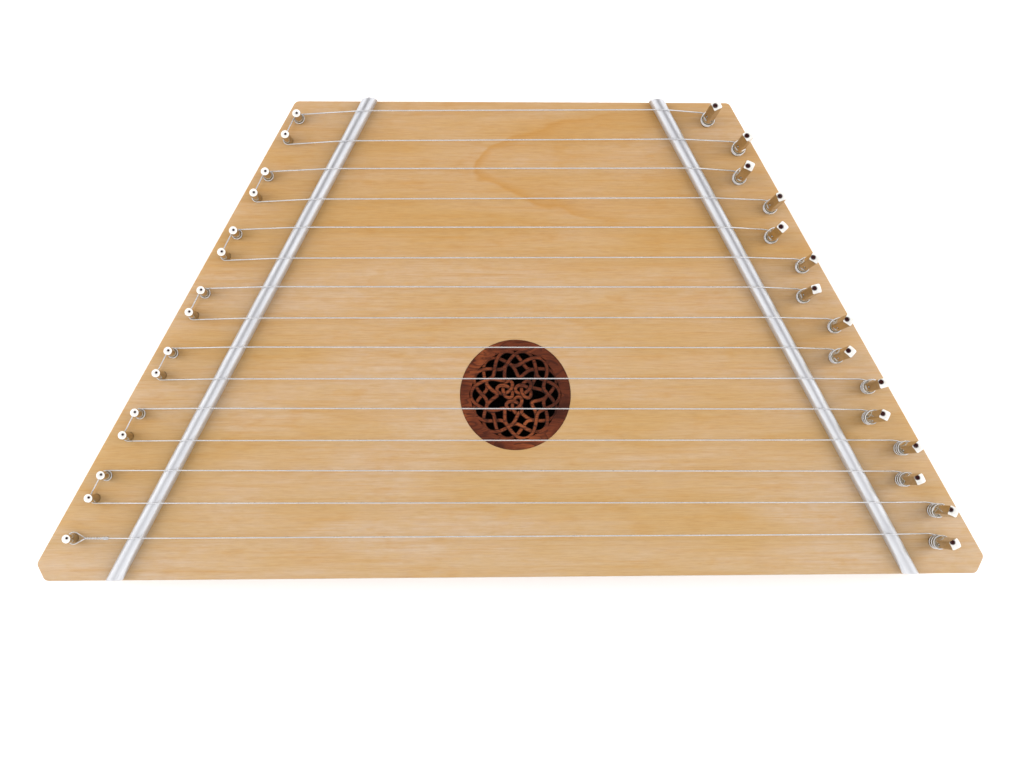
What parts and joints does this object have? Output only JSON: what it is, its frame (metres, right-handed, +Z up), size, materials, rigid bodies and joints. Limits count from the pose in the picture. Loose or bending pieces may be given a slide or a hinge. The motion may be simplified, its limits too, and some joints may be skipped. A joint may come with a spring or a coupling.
{
  "type": "box zither",
  "caption": "Small trapezoid dulcimer: wooden soundbox with carved rosette, two metal bridge rods, hitch pins on one side, turning tuning pins on the other, plain wire strings between them.",
  "frame": {"origin": "centre of the back face, on the surface that the instrument lies on", "axes": "+X along the strings from the hitch pins to the tuning pins, +Y from the long front edge (lowest string) to the short back edge (highest string), +Z up out of the soundboard"},
  "size_m": [0.3922, 0.204, 0.0525],
  "materials": {
    "soundboard_wood": "satin lacquer",
    "back_wood": "satin lacquer",
    "frame_wood": "satin lacquer",
    "block_wood": "satin lacquer",
    "brace_wood": "bare",
    "rosette_wood": "oiled",
    "rod_aluminium": "drawn, lightly scratched",
    "pin_nickel": "polished nickel",
    "music_wire": "bright"
  },
  "bodies": {
    "soundbox": {"soundboard": "soundboard_wood", "back_panel": "back_wood", "treble_rail": "frame_wood", "bass_rail": "frame_wood", "hitch_block": "block_wood", "pin_block": "block_wood", "brace_upper": "brace_wood", "brace_lower": "brace_wood", "rosette": "rosette_wood", "bridge_rod_left": "rod_aluminium", "bridge_rod_right": "rod_aluminium", "hitch_pins": "pin_nickel", "string_wire_01_02": "music_wire", "string_wire_03_04": "music_wire", "string_wire_05_06": "music_wire", "string_wire_07_08": "music_wire", "string_wire_09_10": "music_wire", "string_wire_11_12": "music_wire", "string_wire_13_14": "music_wire", "string_wire_15": "music_wire"},
    "tuner_01": {"tuning_pin_01": "pin_nickel", "string_coil_01": "music_wire"},
    "tuner_02": {"tuning_pin_02": "pin_nickel", "string_coil_02": "music_wire"},
    "tuner_03": {"tuning_pin_03": "pin_nickel", "string_coil_03": "music_wire"},
    "tuner_04": {"tuning_pin_04": "pin_nickel", "string_coil_04": "music_wire"},
    "tuner_05": {"tuning_pin_05": "pin_nickel", "string_coil_05": "music_wire"},
    "tuner_06": {"tuning_pin_06": "pin_nickel", "string_coil_06": "music_wire"},
    "tuner_07": {"tuning_pin_07": "pin_nickel", "string_coil_07": "music_wire"},
    "tuner_08": {"tuning_pin_08": "pin_nickel", "string_coil_08": "music_wire"},
    "tuner_09": {"tuning_pin_09": "pin_nickel", "string_coil_09": "music_wire"},
    "tuner_10": {"tuning_pin_10": "pin_nickel", "string_coil_10": "music_wire"},
    "tuner_11": {"tuning_pin_11": "pin_nickel", "string_coil_11": "music_wire"},
    "tuner_12": {"tuning_pin_12": "pin_nickel", "string_coil_12": "music_wire"},
    "tuner_13": {"tuning_pin_13": "pin_nickel", "string_coil_13": "music_wire"},
    "tuner_14": {"tuning_pin_14": "pin_nickel", "string_coil_14": "music_wire"},
    "tuner_15": {"tuning_pin_15": "pin_nickel", "string_coil_15": "music_wire"}
  },
  "joints": [
    {"name": "tuning_01", "type": "hinge", "parent": "soundbox", "child": "tuner_01", "pos_m": [0.08435, 0.0933, 0.034], "axis": [0, 0, -1], "range_deg": [-150, 30]},
    {"name": "tuning_02", "type": "hinge", "parent": "soundbox", "child": "tuner_02", "pos_m": [0.09735, 0.0803, 0.034], "axis": [0, 0, -1], "range_deg": [-150, 30]},
    {"name": "tuning_03", "type": "hinge", "parent": "soundbox", "child": "tuner_03", "pos_m": [0.09735, 0.0673, 0.034], "axis": [0, 0, -1], "range_deg": [-150, 30]},
    {"name": "tuning_04", "type": "hinge", "parent": "soundbox", "child": "tuner_04", "pos_m": [0.11035, 0.0543, 0.034], "axis": [0, 0, -1], "range_deg": [-150, 30]},
    {"name": "tuning_05", "type": "hinge", "parent": "soundbox", "child": "tuner_05", "pos_m": [0.11035, 0.0413, 0.034], "axis": [0, 0, -1], "range_deg": [-150, 30]},
    {"name": "tuning_06", "type": "hinge", "parent": "soundbox", "child": "tuner_06", "pos_m": [0.12335, 0.0283, 0.034], "axis": [0, 0, -1], "range_deg": [-150, 30]},
    {"name": "tuning_07", "type": "hinge", "parent": "soundbox", "child": "tuner_07", "pos_m": [0.12335, 0.0153, 0.034], "axis": [0, 0, -1], "range_deg": [-150, 30]},
    {"name": "tuning_08", "type": "hinge", "parent": "soundbox", "child": "tuner_08", "pos_m": [0.13635, 0.0023, 0.034], "axis": [0, 0, -1], "range_deg": [-150, 30]},
    {"name": "tuning_09", "type": "hinge", "parent": "soundbox", "child": "tuner_09", "pos_m": [0.13635, -0.0107, 0.034], "axis": [0, 0, -1], "range_deg": [-150, 30]},
    {"name": "tuning_10", "type": "hinge", "parent": "soundbox", "child": "tuner_10", "pos_m": [0.14935, -0.0237, 0.034], "axis": [0, 0, -1], "range_deg": [-150, 30]},
    {"name": "tuning_11", "type": "hinge", "parent": "soundbox", "child": "tuner_11", "pos_m": [0.14935, -0.0367, 0.034], "axis": [0, 0, -1], "range_deg": [-150, 30]},
    {"name": "tuning_12", "type": "hinge", "parent": "soundbox", "child": "tuner_12", "pos_m": [0.16235, -0.0497, 0.034], "axis": [0, 0, -1], "range_deg": [-150, 30]},
    {"name": "tuning_13", "type": "hinge", "parent": "soundbox", "child": "tuner_13", "pos_m": [0.16235, -0.0627, 0.034], "axis": [0, 0, -1], "range_deg": [-150, 30]},
    {"name": "tuning_14", "type": "hinge", "parent": "soundbox", "child": "tuner_14", "pos_m": [0.17535, -0.0757, 0.034], "axis": [0, 0, -1], "range_deg": [-150, 30]},
    {"name": "tuning_15", "type": "hinge", "parent": "soundbox", "child": "tuner_15", "pos_m": [0.17535, -0.0887, 0.034], "axis": [0, 0, -1], "range_deg": [-150, 30]}
  ]
}
